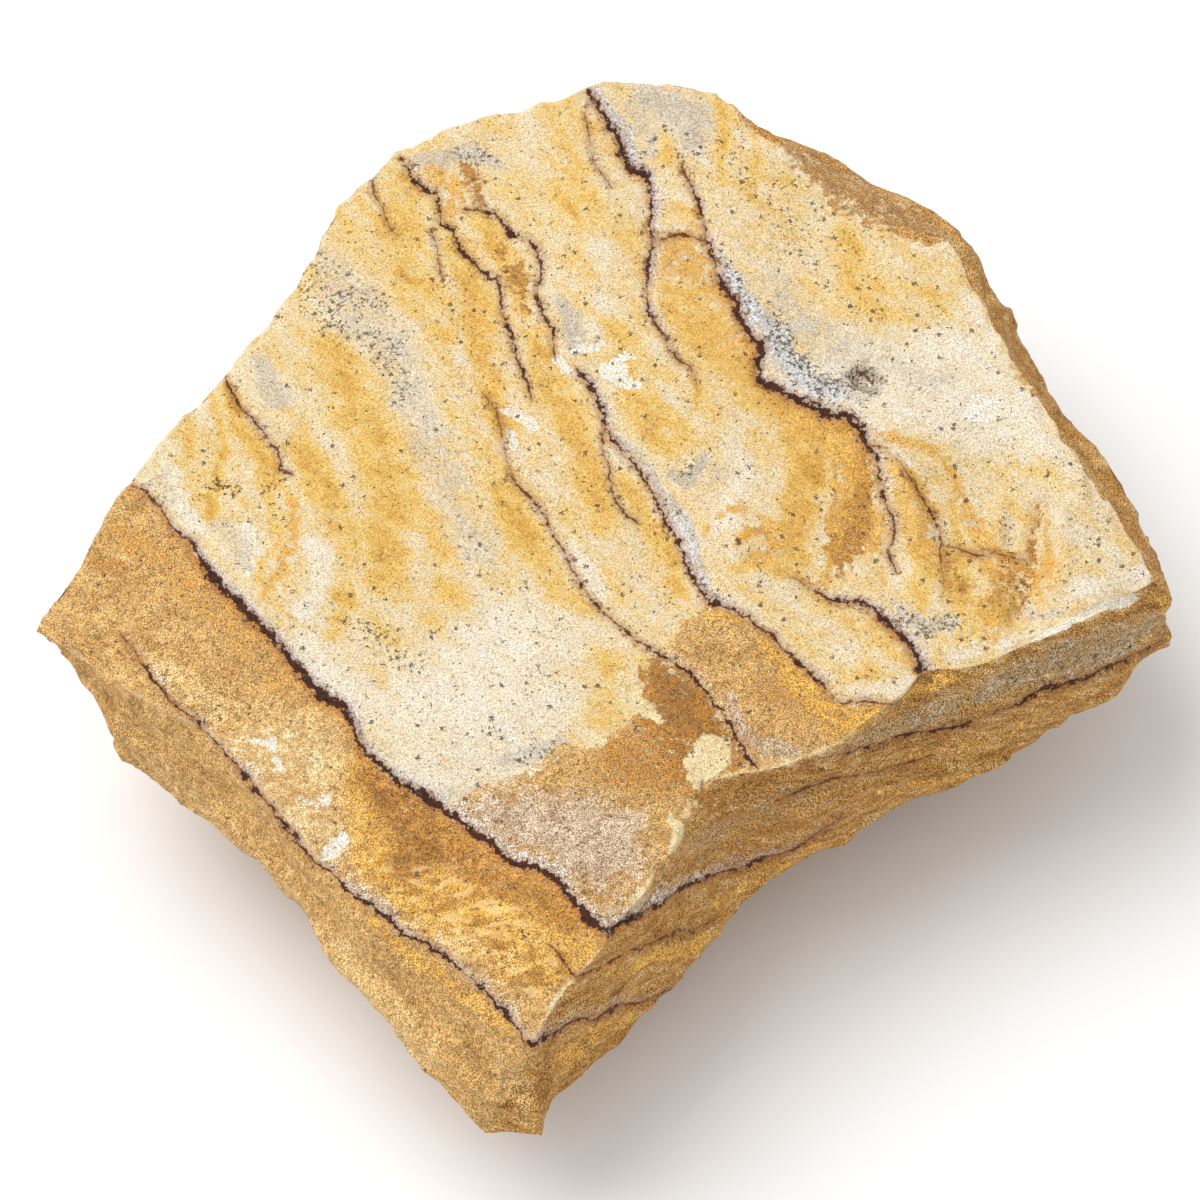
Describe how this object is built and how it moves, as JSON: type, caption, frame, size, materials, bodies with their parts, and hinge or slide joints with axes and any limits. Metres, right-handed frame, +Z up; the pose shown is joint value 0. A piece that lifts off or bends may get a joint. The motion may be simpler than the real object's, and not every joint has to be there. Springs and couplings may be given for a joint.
{
  "type": "picture jasper stone",
  "caption": "Broken slab of banded picture jasper with a broad fracture face on top, layered side walls and a small flat spot underneath that it rests on.",
  "frame": {"origin": "middle of the bounding box in plan, in the plane of the flat spot that the stone rests on", "axes": "+Z up, out of the broad top face; +X towards the stone's pointed right-hand corner; +Y towards the rounded back, away from the viewer"},
  "size_m": [0.0936, 0.0938, 0.0306],
  "materials": {
    "jasper": "matt fine-grained fracture surface, cream and ochre bands with thin dark brown veins, brown weathered walls"
  },
  "bodies": {
    "root": {"picture_jasper": "jasper"}
  },
  "joints": []
}
